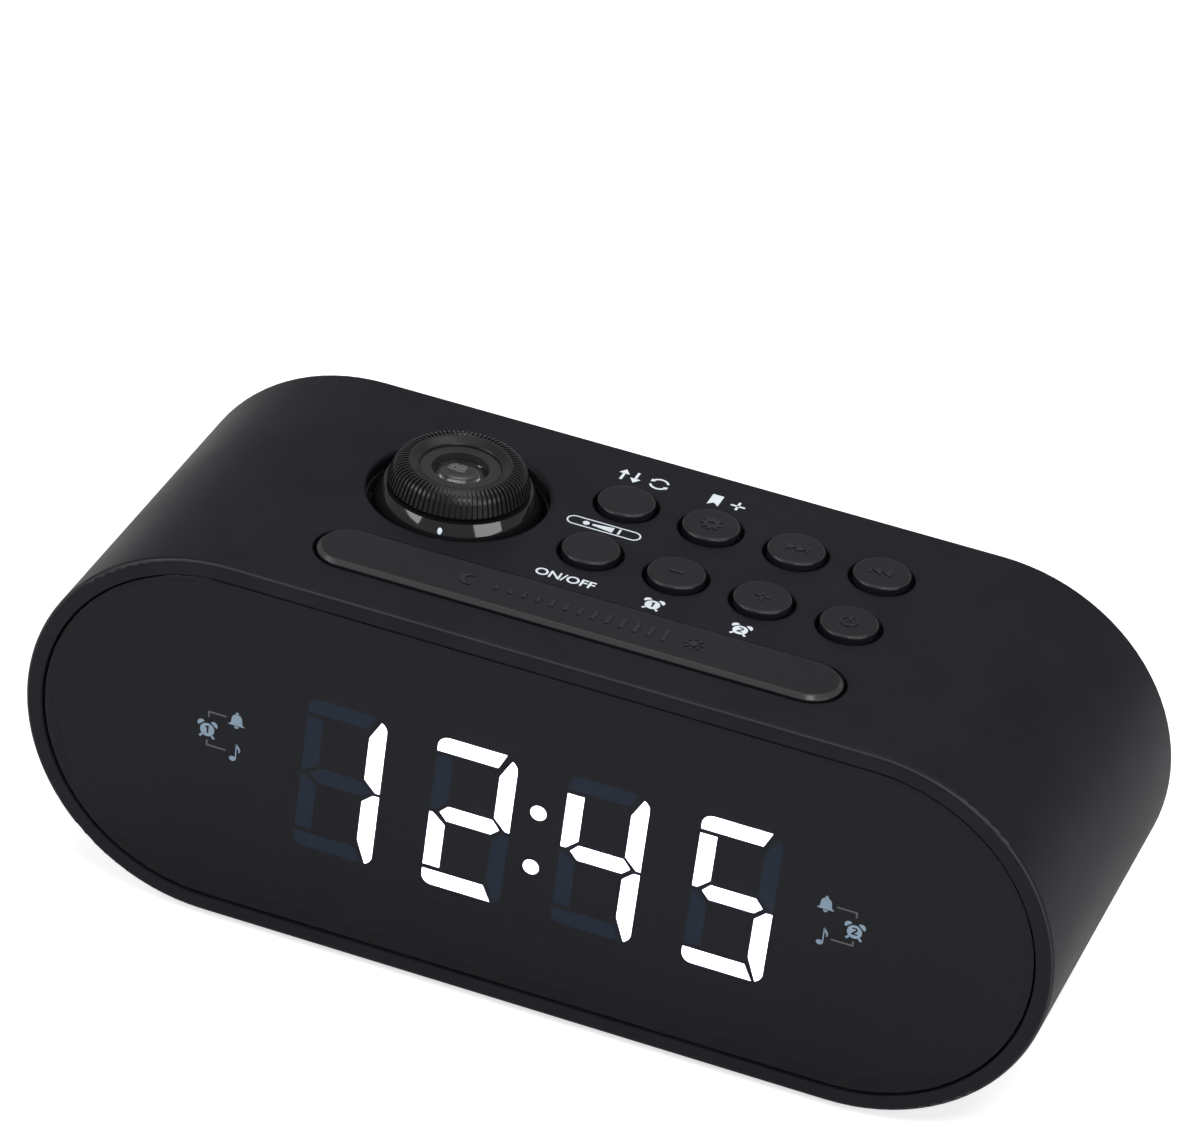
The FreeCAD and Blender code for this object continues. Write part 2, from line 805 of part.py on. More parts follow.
def rubber_feet():
    feet = []
    for x, y in foot_places():
        foot = rod_z(x, y, 0, bottom + foot_sink, foot_radius)
        feet.append(rounded(foot, foot_edge_round, 0))
    return group(feet)


def battery_door():
    """Cover of the battery bay, flush with the underside."""
    door = bay_box(0, bottom, bottom + door_thickness)
    return door.cut(rod_z(door_screw_x, 0, bottom - 1, bottom + door_thickness + 1,
                          screw_radius + hole_gap))


def door_screw():
    return screw(door_screw_x, 0, bottom, (0, 0, 1), tray_bottom + door_screw_bite - bottom)


def battery_tray():
    """Holder over the bay, open downwards, that grips the coin cell."""
    tray = block(bay_x - tray_half, bay_x + tray_half, -door_width / 2 - tray_side,
                 door_width / 2 + tray_side, tray_bottom, tray_bottom + tray_height)
    pocket = rod_z(cell_x, 0, tray_bottom - 1, tray_bottom + tray_height - tray_wall,
                   cell_radius + cell_gap)
    bite = rod_z(door_screw_x, 0, tray_bottom - 1, tray_bottom + door_screw_bite + 1,
                 screw_radius + running_gap)
    return tray.cut(pocket).cut(bite)


def coin_cell():
    """The cell, with the step between its can and its lid."""
    z0 = tray_bottom + cell_lift
    can = rod_z(cell_x, 0, z0, z0 + cell_thickness * cell_can_share, cell_radius)
    lid = rod_z(cell_x, 0, z0, z0 + cell_thickness, cell_radius - cell_lid_inset)
    return join([can, lid])


def battery_contact():
    """The strip between the cell and the tray's ceiling."""
    ceiling = tray_bottom + tray_height - tray_wall
    half = contact_width / 2
    return block(cell_x - half, cell_x + half, -half, half, ceiling - contact_thickness, ceiling)


def key_cap(x, y):
    """A round key: domed edge, stop flange under the case wall, and a stem."""
    cap = rounded(rod_z(x, y, flange_bottom, top + key_proud, key_radius), key_round, top + key_proud)
    flange = rod_z(x, y, flange_bottom, roof_inside - running_gap,
                   key_hole_radius + key_flange_width)
    stem = rod_z(x, y, plunger_top, flange_bottom + 0.5, key_stem_radius)
    return join([cap, flange, stem])


def plunger(x, y):
    """The sliding button of one switch."""
    return rod_z(x, y, switch_top - plunger_sink, plunger_top, plunger_radius)


def snooze_solid(grow, z0, z1):
    return stadium_z(snooze_length + 2 * grow, snooze_width + 2 * grow, snooze_x, snooze_y, z0, z1)


def snooze_bar():
    """The long key: bevelled edge, stop flange and two stems."""
    bar = snooze_solid(0, flange_bottom, top + snooze_proud)
    edges = [e for e in bar.Edges if all(abs(v.Z - top - snooze_proud) < 1e-6 for v in e.Vertexes)]
    bar = bar.makeChamfer(snooze_bevel, edges)
    flange = snooze_solid(snooze_gap + key_flange_width, flange_bottom, roof_inside - running_gap)
    stems = [rod_z(x, y, plunger_top, flange_bottom + 0.5, key_stem_radius)
             for x, y in snooze_stem_places()]
    return join([bar, flange] + stems)


def snooze_plungers():
    return group([plunger(x, y) for x, y in snooze_stem_places()])


def switch_bodies():
    """The switches under the keys, each with a hole that its plunger dips into."""
    half = switch_size / 2
    bodies = []
    for x, y in key_places() + snooze_stem_places():
        body = block(x - half, x + half, y - half, y + half, key_board_top, switch_top)
        depth = plunger_sink + key_travel + 0.4
        bodies.append(body.cut(rod_z(x, y, switch_top - depth, switch_top + 1, plunger_radius + running_gap)))
    return group(bodies)


def key_board():
    """L-shaped board: a strip under the snooze bar and a field under the keys."""
    past = snooze_end + 2 * key_post_radius + key_post_gap + board_edge
    strip_front = snooze_y - key_board_strip_width / 2
    strip_back = snooze_y + key_board_strip_width / 2
    strip = block(snooze_x - past, snooze_x + past, strip_front, strip_back, key_board_bottom, key_board_top)
    keys = key_places()
    field = block(keys[0][0] - key_board_margin, keys[-1][0] + key_board_margin,
                  strip_back - key_board_overlap, keys[-1][1] + key_board_margin,
                  key_board_bottom, key_board_top)
    holes = [rod_z(x, y, key_board_bottom - 1, key_board_top + 1, screw_radius + hole_gap)
             for x, y in key_post_places()]
    return join([strip, field]).cut(Part.makeCompound(holes))


def key_board_screws():
    return group([screw(x, y, key_board_bottom, (0, 0, 1), board_thickness + screw_bite - 1)
                  for x, y in key_post_places()])


def projector_bracket():
    """Plate hung from three posts, with the bearing that the cup turns in."""
    plate = rod_z(head_x, head_y, bracket_bottom, bracket_top, bracket_radius)
    ears = [rod_z(x, y, bracket_bottom, bracket_top, bracket_post_radius + 1.2)
            for x, y in bracket_post_places()]
    plate = join([plate] + ears)
    holes = [rod_z(x, y, bracket_bottom - 1, bracket_top + 1, screw_radius + hole_gap)
             for x, y in bracket_post_places()]
    holes.append(rod_z(head_x, head_y, bracket_bottom - 1, bracket_top + 1, spindle_radius + running_gap))
    return plate.cut(Part.makeCompound(holes))


def bracket_screws():
    return group([screw(x, y, bracket_bottom, (0, 0, 1), bracket_thickness + screw_bite - 1)
                  for x, y in bracket_post_places()])


def swivel_cup():
    """The cup that turns on its spindle and holds the ball's two pins."""
    groove_top = bracket_bottom - 2 * running_gap
    groove_bottom = groove_top - clip_thickness - 2 * running_gap
    cup = turned((spindle_bore_radius, spindle_bottom), [
        ((spindle_radius, spindle_bottom),), ((spindle_radius, groove_bottom),),
        ((spindle_radius - clip_groove, groove_bottom),), ((spindle_radius - clip_groove, groove_top),),
        ((spindle_radius, groove_top),), ((spindle_radius, cup_bottom),), ((cup_outer, cup_bottom),),
        ((cup_outer, cup_top),), ((cup_inner, cup_top),), ((cup_inner, cup_floor_top),),
        ((spindle_bore_radius, cup_floor_top),)])
    cup = at_head(cup, 0)
    pins = Part.makeCylinder(pin_radius + running_gap, 2 * cup_outer + 2,
                             vector(head_x - cup_outer - 1, head_y, ball_z), vector(1, 0, 0))
    return cup.cut(pins)


def swivel_clip():
    """Spring clip in the spindle's groove, open at one side."""
    z1 = bracket_bottom - 3 * running_gap
    z0 = z1 - clip_thickness
    inner = spindle_radius - clip_groove + running_gap
    clip = rod_z(head_x, head_y, z0, z1, spindle_radius + clip_reach)
    clip = clip.cut(rod_z(head_x, head_y, z0 - 1, z1 + 1, inner))
    opening = block(head_x - inner * 0.6, head_x + inner * 0.6, head_y, head_y + 2 * spindle_radius,
                    z0 - 1, z1 + 1)
    return clip.cut(opening)


def sphere_radius_at(radius, height):
    return math.sqrt(radius * radius - height * height)


def projector_ball():
    """Glossy ball band with its pins, the barrel's guide and the lamp shroud."""
    inner = ball_radius - ball_wall
    plate_bottom = ball_top - ball_wall
    hub_hole = ring_hub_radius + running_gap
    guide_inner = barrel_radius + running_gap
    shell = turned((sphere_radius_at(ball_radius, ball_top), ball_top), [
        ((ball_radius, 0), (sphere_radius_at(ball_radius, ball_bottom), -ball_bottom)),
        ((sphere_radius_at(inner, ball_bottom), -ball_bottom),),
        ((inner, 0), (sphere_radius_at(inner, plate_bottom), plate_bottom)),
        ((hub_hole, plate_bottom),), ((hub_hole, ball_top),)])
    web_top = web_thickness - web_drop
    shroud_outer = barrel_radius + guide_wall
    shroud_inner = shroud_outer - shroud_wall
    lap = inner + web_lap
    web = turned((barrel_bore_radius, -web_drop), [
        ((shroud_inner, -web_drop),), ((shroud_inner, -web_drop - shroud_depth),),
        ((shroud_outer, -web_drop - shroud_depth),), ((shroud_outer, -web_drop),),
        ((sphere_radius_at(lap, web_drop), -web_drop),), ((sphere_radius_at(lap, web_top), web_top),),
        ((shroud_outer, web_top),), ((shroud_outer, web_top + guide_height),),
        ((guide_inner, web_top + guide_height),), ((guide_inner, web_top),),
        ((barrel_bore_radius, web_top),)])
    pins = Part.makeCylinder(pin_radius, 2 * pin_reach, vector(-pin_reach, 0, 0), vector(1, 0, 0))
    pins = pins.cut(Part.makeSphere(lap))
    ball = join([shell, web, pins])
    half = key_tab_width / 2 + running_gap
    reach = barrel_radius + key_tab_reach + running_gap
    ball = ball.cut(block(-half, half, -reach, reach, web_top, web_top + guide_height + 1))
    return at_head(ball, ball_z)


def focus_ring():
    """Knurled cap turned by hand, with a threaded hub around the barrel."""
    bore = barrel_radius + running_gap
    bulge = ((ring_side_radius + ring_top_radius) / 2 + 0.6, (ring_side_height + ring_height) / 2 + 0.35)
    ring = turned((ring_base_radius - 0.4, 0), [
        ((ring_base_radius, 0.4),), ((ring_side_radius, ring_side_height),),
        (bulge, (ring_top_radius, ring_height)), ((bore + 1.4, ring_height),),
        ((bore + 0.2, ring_height - 0.7),), ((bore, ring_height - 0.9),), ((bore, -ring_hub_depth),),
        ((ring_hub_radius, -ring_hub_depth),), ((ring_hub_radius, 0),)])
    half = math.pi * ring_side_radius / ring_ribs * 0.45
    d = ring_groove_depth
    profile = [(ring_base_radius + 1, -0.5), (ring_base_radius - d - 0.05, -0.5),
               (ring_base_radius - d, 0.4), (ring_side_radius - d, ring_side_height - d * 0.3),
               (bulge[0] - d * 0.75, bulge[1] - d * 0.75), (ring_top_radius + 0.1, ring_height - 0.05),
               (ring_top_radius + 0.1, ring_height + 1), (ring_base_radius + 1, ring_height + 1)]
    face = Part.Face(Part.makePolygon([vector(r, -half, z) for r, z in profile + profile[:1]]))
    cutter = face.extrude(vector(0, 2 * half, 0))
    cutters = []
    for number in range(ring_ribs):
        turned_cutter = cutter.copy()
        turned_cutter.rotate(vector(0, 0, 0), vector(0, 0, 1), 360.0 * number / ring_ribs)
        cutters.append(turned_cutter)
    return at_head(ring.cut(Part.makeCompound(cutters)), ring_base)


def lens_barrel():
    """Tube that rides up and down as the ring turns, kept from turning by two tabs."""
    z1 = barrel_top
    z0 = z1 - barrel_length
    tube = rod_z(head_x, head_y, z0, z1, barrel_radius)
    tabs = block(head_x - key_tab_width / 2, head_x + key_tab_width / 2,
                 head_y - barrel_radius - key_tab_reach, head_y + barrel_radius + key_tab_reach,
                 z0, z0 + key_tab_width)
    tube = join([tube, tabs])
    seat = z1 - optic_thickness - optic_sink
    tube = tube.cut(rod_z(head_x, head_y, z0 - 1, z1 + 1, optic_radius - optic_seat_width))
    tube = tube.cut(rod_z(head_x, head_y, seat, z1 + 1, optic_radius + running_gap))
    return tube.cut(rod_z(head_x, head_y, z0 - 1, seat - 1.0, barrel_bore_radius))


def lens_solid(radius, thickness, dome, z):
    """A lens with a cylindrical edge and a ball-shaped dome above and below."""
    curve = (radius * radius + dome * dome) / (2 * dome)
    ball_centre = curve - thickness / 2
    edge = rod_z(0, 0, -thickness / 2, thickness / 2, radius)
    upper = Part.makeSphere(curve, vector(0, 0, -ball_centre))
    lower = Part.makeSphere(curve, vector(0, 0, ball_centre))
    return at_head(edge.common(upper).common(lower), z)


def projection_lens():
    z = barrel_top - optic_sink - optic_thickness / 2
    return lens_solid(optic_radius, optic_thickness, optic_dome, z)


def time_slide():
    """The small liquid-crystal plate whose numbers are thrown on the wall."""
    half = slide_size / 2
    z1 = web_bottom
    return block(head_x - half, head_x + half, head_y - half, head_y + half, z1 - slide_thickness, z1)


def condenser_lens():
    z = web_bottom - slide_thickness - condenser_thickness / 2
    radius = barrel_radius + guide_wall - shroud_wall - running_gap
    return lens_solid(radius, condenser_thickness, condenser_dome, z)


def lamp_board():
    return rod_z(head_x, head_y, shroud_bottom - lamp_board_thickness, shroud_bottom,
                 barrel_radius + guide_wall)


def projector_lamp():
    half = lamp_size / 2
    return block(head_x - half, head_x + half, head_y - half, head_y + half, shroud_bottom,
                 shroud_bottom + lamp_height)


key_names = ("projection_key", "alarm_one_key", "alarm_two_key", "power_key",
             "flip_key", "memory_key", "forward_key", "back_key")

nodes = {
    "main_shell": main_shell, "display_lens": display_lens, "display_mask": display_mask,
    "display_block": display_block, "segment_diffusers": segment_diffusers,
    "display_leds": display_leds, "display_board": display_board, "display_screws": display_screws,
    "rear_cover": rear_cover, "rear_cover_screws": rear_cover_screws, "aerial_grommet": aerial_grommet,
    "speaker_basket": speaker_basket, "speaker_magnet": speaker_magnet, "speaker_cone": speaker_cone,
    "main_board": main_board, "main_board_screws": main_board_screws, "board_chips": board_chips,
    "board_capacitors": board_capacitors, "board_connectors": board_connectors,
    "supply_inlet": supply_inlet, "supply_pin": supply_pin, "rubber_feet": rubber_feet,
    "battery_door": battery_door, "door_screw": door_screw, "battery_tray": battery_tray,
    "coin_cell": coin_cell, "battery_contact": battery_contact, "snooze_bar": snooze_bar,
    "snooze_plungers": snooze_plungers, "switch_bodies": switch_bodies, "key_board": key_board,
    "key_board_screws": key_board_screws, "projector_bracket": projector_bracket,
    "bracket_screws": bracket_screws, "swivel_cup": swivel_cup, "swivel_clip": swivel_clip,
    "projector_ball": projector_ball, "focus_ring": focus_ring, "lens_barrel": lens_barrel,
    "projection_lens": projection_lens, "time_slide": time_slide, "condenser_lens": condenser_lens,
    "lamp_board": lamp_board, "projector_lamp": projector_lamp,
}


def write(name, shape):
    print(name, "solids", len(shape.Solids), "volume", round(shape.Volume, 1), "valid", shape.isValid())
    shape.exportStep(os.path.join("parts", name + ".step"))


os.makedirs("parts", exist_ok=True)
for node_name, make in nodes.items():
    write(node_name, make())
for key_name, (key_x, key_y) in zip(key_names, key_places()):
    write(key_name, key_cap(key_x, key_y))
    write(key_name.replace("_key", "_plunger"), plunger(key_x, key_y))
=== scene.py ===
import math

import bmesh
import bpy
from mathutils import Matrix, Vector


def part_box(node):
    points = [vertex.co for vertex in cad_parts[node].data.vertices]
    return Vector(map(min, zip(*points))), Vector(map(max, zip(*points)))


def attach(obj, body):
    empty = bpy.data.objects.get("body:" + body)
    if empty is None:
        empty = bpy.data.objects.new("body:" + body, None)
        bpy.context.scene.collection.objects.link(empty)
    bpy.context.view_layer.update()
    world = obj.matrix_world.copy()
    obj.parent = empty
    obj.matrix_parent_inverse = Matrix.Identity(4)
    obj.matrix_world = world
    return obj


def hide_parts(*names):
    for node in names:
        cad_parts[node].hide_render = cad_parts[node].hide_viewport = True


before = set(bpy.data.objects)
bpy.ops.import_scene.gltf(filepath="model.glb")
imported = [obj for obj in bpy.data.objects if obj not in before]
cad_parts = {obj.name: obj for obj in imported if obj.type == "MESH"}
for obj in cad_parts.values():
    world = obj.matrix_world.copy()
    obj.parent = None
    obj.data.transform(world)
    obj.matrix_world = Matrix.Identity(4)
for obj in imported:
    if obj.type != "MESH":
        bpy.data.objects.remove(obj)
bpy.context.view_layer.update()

MM = 0.001

# Places read from the frame, in millimetres

def box_mm(node):
    """The low and the high corner of a node's box."""
    low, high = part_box(node)
    return [v / MM for v in low], [v / MM for v in high]


shell_low, shell_high = box_mm("main_shell")
diffuser_low, diffuser_high = box_mm("segment_diffusers")
ring_low, ring_high = box_mm("focus_ring")
bar_low, bar_high = box_mm("snooze_bar")
lens_low = box_mm("display_lens")[0]
ball_high = box_mm("projector_ball")[1]
case_top = shell_high[2]
case_front = shell_low[1]
case_foot = shell_low[2]
window_front = lens_low[1]
ball_top = ball_high[2]
key_nodes = ("projection_key", "alarm_one_key", "alarm_two_key", "power_key",
             "flip_key", "memory_key", "forward_key", "back_key")
key_boxes = {name: box_mm(name) for name in key_nodes}
key_centres = {name: ((low[0] + high[0]) / 2, (low[1] + high[1]) / 2)
               for name, (low, high) in key_boxes.items()}
key_top = key_boxes["flip_key"][1][2]
head_x = (ring_low[0] + ring_high[0]) / 2
head_y = (ring_low[1] + ring_high[1]) / 2


# Materials

noise_low = 0.3
noise_high = 0.7
mottle_scale = 38.0
shade_scale = 90.0
grain_strength = 0.6
bevel_samples = 6
# Painted edge highlight: how much lighter it is, the askew faces it falls on, and its largest share.
highlight_lightness = 5.0
askew_least = 0.22
askew_most = 0.5
highlight_share = 0.85
glow_dimmest = 0.94
glow_brightest = 1.04


def new_material(name):
    """An empty material with its nodes, their links and its shader."""
    material = bpy.data.materials.new(name)
    material.use_nodes = True
    nodes = material.node_tree.nodes
    return material, nodes, material.node_tree.links, nodes["Principled BSDF"]


def noise(nodes, links, scale, detail=3.0):
    """Smooth noise over the piece. A larger scale makes it finer."""
    coordinates = nodes.new("ShaderNodeTexCoord")
    texture = nodes.new("ShaderNodeTexNoise")
    texture.inputs["Scale"].default_value = scale
    texture.inputs["Detail"].default_value = detail
    links.new(coordinates.outputs["Object"], texture.inputs["Vector"])
    return texture.outputs["Fac"]


def mapped(nodes, links, value, low, high):
    """Spreads the values that noise mostly has from low to high."""
    node = nodes.new("ShaderNodeMapRange")
    node.inputs["From Min"].default_value = noise_low
    node.inputs["From Max"].default_value = noise_high
    node.inputs["To Min"].default_value = low
    node.inputs["To Max"].default_value = high
    links.new(value, node.inputs["Value"])
    return node.outputs["Result"]


def moulded(name, colour, roughness, spread=0.05, grain=5200.0, grain_depth=0.000008, tint=0.12,
            specular=0.5, edge=0.0, edge_axis="Z"):
    """Moulded plastic: fine grain in the bump, slow changes of gloss and of shade.
    Lengths are in metres. With an edge radius, the edges are softened and their colour gets a painted
    highlight."""
    material, nodes, links, shader = new_material(name)
    mottle = noise(nodes, links, mottle_scale, detail=4.0)
    links.new(mapped(nodes, links, mottle, roughness - spread, roughness + spread),
              shader.inputs["Roughness"])
    shade = nodes.new("ShaderNodeMix")
    shade.data_type = "RGBA"
    shade.inputs["A"].default_value = [c * (1 - tint) for c in colour] + [1]
    shade.inputs["B"].default_value = [c * (1 + tint) for c in colour] + [1]
    patches = noise(nodes, links, shade_scale, detail=5.0)
    links.new(mapped(nodes, links, patches, 0.0, 1.0), shade.inputs["Factor"])
    links.new(shade.outputs["Result"], shader.inputs["Base Color"])
    bump = nodes.new("ShaderNodeBump")
    bump.inputs["Strength"].default_value = grain_strength
    bump.inputs["Distance"].default_value = grain_depth
    links.new(noise(nodes, links, grain, detail=2.0), bump.inputs["Height"])
    if edge:
        softened = nodes.new("ShaderNodeBevel")
        softened.samples = bevel_samples
        softened.inputs["Radius"].default_value = edge
        links.new(softened.outputs["Normal"], bump.inputs["Normal"])
        # Painted highlight: the rounded edges are made lighter in colour.
        paint_edge_highlight(nodes, links, shade, shader, edge_axis, colour)
    links.new(bump.outputs["Normal"], shader.inputs["Normal"])
    shader.inputs["Specular IOR Level"].default_value = specular
    return material


def paint_edge_highlight(nodes, links, shade, shader, axis, colour):
    """Painted highlight on rounded edges: the faces that lie askew to the axis of the moulding are painted
    lighter, standing in for the lamps' glints.
    """
    geometry = nodes.new("ShaderNodeNewGeometry")
    parts = nodes.new("ShaderNodeSeparateXYZ")
    links.new(geometry.outputs["Normal"], parts.inputs["Vector"])
    squared = nodes.new("ShaderNodeMath")
    squared.operation = "POWER"
    squared.inputs[1].default_value = 2.0
    magnitude = nodes.new("ShaderNodeMath")
    magnitude.operation = "ABSOLUTE"
    links.new(parts.outputs[axis], magnitude.inputs[0])
    links.new(magnitude.outputs["Value"], squared.inputs[0])
    askew = nodes.new("ShaderNodeMath")
    askew.operation = "PINGPONG"
    askew.inputs[1].default_value = askew_most
    links.new(squared.outputs["Value"], askew.inputs[0])
    amount = nodes.new("ShaderNodeMapRange")
    amount.inputs["From Min"].default_value = askew_least
    amount.inputs["From Max"].default_value = askew_most
    amount.inputs["To Max"].default_value = highlight_share
    links.new(askew.outputs["Value"], amount.inputs["Value"])
    # The painted highlight's colour, mixed over the shade on the askew faces.
    highlight_mix = nodes.new("ShaderNodeMix")
    highlight_mix.data_type = "RGBA"
    highlight_mix.inputs["B"].default_value = [min(colour) * highlight_lightness] * 3 + [1]
    links.new(shade.outputs["Result"], highlight_mix.inputs["A"])
    links.new(amount.outputs["Result"], highlight_mix.inputs["Factor"])
    links.new(highlight_mix.outputs["Result"], shader.inputs["Base Color"])


def metal(name, colour, roughness):
    """Bare or plated metal, with the same kind of grain."""
    material = moulded(name, colour, roughness, spread=0.06, grain=2600.0, grain_depth=0.000004)
    material.node_tree.nodes["Principled BSDF"].inputs["Metallic"].default_value = 1.0
    return material


def glowing(name, colour, strength):
    """A diffuser or lamp that gives light, with slight changes of brightness."""
    material, nodes, links, shader = new_material(name)
    shader.inputs["Base Color"].default_value = [*colour, 1]
    shader.inputs["Roughness"].default_value = 0.5
    shader.inputs["Emission Color"].default_value = [*colour, 1]
    cloud = noise(nodes, links, 240.0)
    level = mapped(nodes, links, cloud, strength * glow_dimmest, strength * glow_brightest)
    links.new(level, shader.inputs["Emission Strength"])
    return material


def smoked_window():
    """Dark acrylic that lets the lit segments through."""
    material, nodes, links, shader = new_material("window_finish")
    shader.inputs["Base Color"].default_value = (0.040, 0.041, 0.050, 1)
    shader.inputs["Transmission Weight"].default_value = 1.0
    shader.inputs["IOR"].default_value = 1.345
    shader.inputs["Specular Tint"].default_value = (0.86, 0.88, 1.0, 1)
    haze = noise(nodes, links, 25.0)
    links.new(mapped(nodes, links, haze, 0.006, 0.015), shader.inputs["Roughness"])
    return material


def clear_optic():
    """Clear glass or acrylic of the projector's lenses."""
    material, nodes, links, shader = new_material("optic_finish")
    shader.inputs["Base Color"].default_value = (0.93, 0.95, 0.97, 1)
    shader.inputs["Transmission Weight"].default_value = 1.0
    shader.inputs["IOR"].default_value = 1.5
    haze = noise(nodes, links, 300.0)
    links.new(mapped(nodes, links, haze, 0.01, 0.03), shader.inputs["Roughness"])
    return material


# Through their edge radius, the case and the keys get a painted highlight on their rounded edges.
case_black = moulded("case_finish", (0.0098, 0.0096, 0.0138), 0.43, spread=0.04, specular=0.11,
                     edge=0.0005, edge_axis="Y")
key_black = moulded("key_finish", (0.0085, 0.0085, 0.0120), 0.25, spread=0.03, specular=0.3,
                    edge=0.00045)
relief_black = moulded("relief_finish", (0.0110, 0.0110, 0.0145), 0.28, spread=0.04, specular=0.45)
ring_black = moulded("ring_finish", (0.009, 0.009, 0.011), 0.33, grain=3000.0, grain_depth=0.00001,
                     specular=0.35)
gloss_black = moulded("gloss_black_finish", (0.008, 0.008, 0.009), 0.07, spread=0.02, grain=900.0,
                      grain_depth=0.000001, tint=0.1, specular=0.6)
inner_black = moulded("inner_black_finish", (0.01, 0.01, 0.011), 0.55)
mask_black = moulded("mask_finish", (0.016, 0.016, 0.022), 0.85, grain=300.0, grain_depth=0.0000005,
                     specular=0.0)
rubber_black = moulded("rubber_black_finish", (0.018, 0.018, 0.018), 0.75, spread=0.08, grain=1800.0,
                       grain_depth=0.00003)
paper_black = moulded("paper_black_finish", (0.03, 0.03, 0.03), 0.85, spread=0.06, grain=1500.0,
                      grain_depth=0.00005)
print_white = moulded("print_white_finish", (0.72, 0.79, 0.84), 0.5)
print_grey = moulded("print_grey_finish", (0.20, 0.28, 0.36), 0.45)
bracket_grey = moulded("bracket_grey_finish", (0.075, 0.078, 0.085), 0.45)
screw_steel = metal("screw_steel_finish", (0.12, 0.12, 0.125), 0.4)
plated_steel = metal("plated_steel_finish", (0.6, 0.6, 0.62), 0.3)
bare_aluminium = metal("bare_aluminium_finish", (0.75, 0.75, 0.77), 0.3)
contact_brass = metal("contact_brass_finish", (0.75, 0.58, 0.28), 0.25)
connector_white = moulded("connector_white_finish", (0.75, 0.72, 0.65), 0.45)
window = smoked_window()
optic = clear_optic()
board_green = moulded("board_finish", (0.02, 0.12, 0.05), 0.35, spread=0.08, grain=700.0,
                      grain_depth=0.00002, tint=0.35)
lamp_red = glowing("lamp_finish", (0.9, 0.06, 0.03), strength=3.0)
segment_on = glowing("segment_on_finish", (1.0, 1.0, 1.0), strength=112.0)
# Dark segments get a faint blue painted glow: they give light though their lamps are off.
dark_segment_glow = glowing("segment_off_finish", (0.024, 0.085, 0.155), strength=2.6)

plunger_nodes = tuple(name.replace("_key", "_plunger") for name in key_nodes)
finishes = (
    (case_black, ("main_shell", "rear_cover", "battery_door")),
    (key_black, ("snooze_bar",) + key_nodes),
    (ring_black, ("focus_ring",)),
    (gloss_black, ("projector_ball",)),
    (mask_black, ("display_mask", "display_block")),
    (inner_black, ("speaker_magnet", "board_chips", "supply_inlet",
                   "battery_tray", "snooze_plungers", "switch_bodies", "projector_bracket",
                   "swivel_cup", "lens_barrel") + plunger_nodes),
    (rubber_black, ("rubber_feet", "aerial_grommet")),
    (paper_black, ("speaker_cone",)),
    (screw_steel, ("display_screws", "rear_cover_screws", "main_board_screws", "door_screw",
                   "key_board_screws", "bracket_screws")),
    (plated_steel, ("speaker_basket", "coin_cell", "swivel_clip")),
    (bare_aluminium, ("board_capacitors",)),
    (contact_brass, ("supply_pin", "battery_contact")),
    (connector_white, ("board_connectors", "display_leds")),
    (board_green, ("display_board", "main_board", "key_board", "lamp_board")),
    (window, ("display_lens", "time_slide")),
    (optic, ("projection_lens", "condenser_lens")),
    (lamp_red, ("projector_lamp",)),
)


def dress(node, material):
    """Gives a carried-over node its material."""
    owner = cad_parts[node]
    if not owner.material_slots:
        owner.data.materials.append(material)
    for material_slot in owner.material_slots:
        material_slot.material = material


for finish, dressed in finishes:
    for node_name in dressed:
        dress(node_name, finish)


# Flat pieces: printed marks, relief pictograms and display segments

print_thickness = 0.03
print_rise = 0.4 * print_thickness
letter_size = 2.95
letter_boldness = 0.045
relief_height = 0.22
relief_rise = 0.3 * relief_height
relief_bevel = 0.03
sharpest_corner = 0.3
merge_distance = 1e-7
TO_TOP = Matrix.Identity(4)
TO_FRONT = Matrix.Rotation(math.radians(90), 4, "X")


def circle(x, y, radius, count=32):
    return [(x + radius * math.cos(2 * math.pi * i / count),
             y + radius * math.sin(2 * math.pi * i / count))
            for i in range(count)]


def arc(x, y, radius, start, end, count=16):
    """Points from one angle to another, in degrees."""
    return [(x + radius * math.cos(math.radians(start + (end - start) * i / count)),
             y + radius * math.sin(math.radians(start + (end - start) * i / count)))
            for i in range(count + 1)]


def stroke(points, width):
    """The outline of a line of even width through points."""
    left, right = [], []
    for i, (x, y) in enumerate(points):
        before = Vector(points[max(i - 1, 0)])
        after = Vector(points[min(i + 1, len(points) - 1)])
        here = Vector((x, y))
        first = (here - before).normalized() if i else (after - here).normalized()
        second = (after - here).normalized() if i < len(points) - 1 else first
        normal = Vector((-(first + second).y, (first + second).x)).normalized()
        reach = width / 2 / max(normal.dot(Vector((-first.y, first.x))), sharpest_corner)
        left.append((x + normal.x * reach, y + normal.y * reach))
        right.append((x - normal.x * reach, y - normal.y * reach))
    return left + right[::-1]


def moved(loop, x, y):
    return [(x + px, y + py) for px, py in loop]


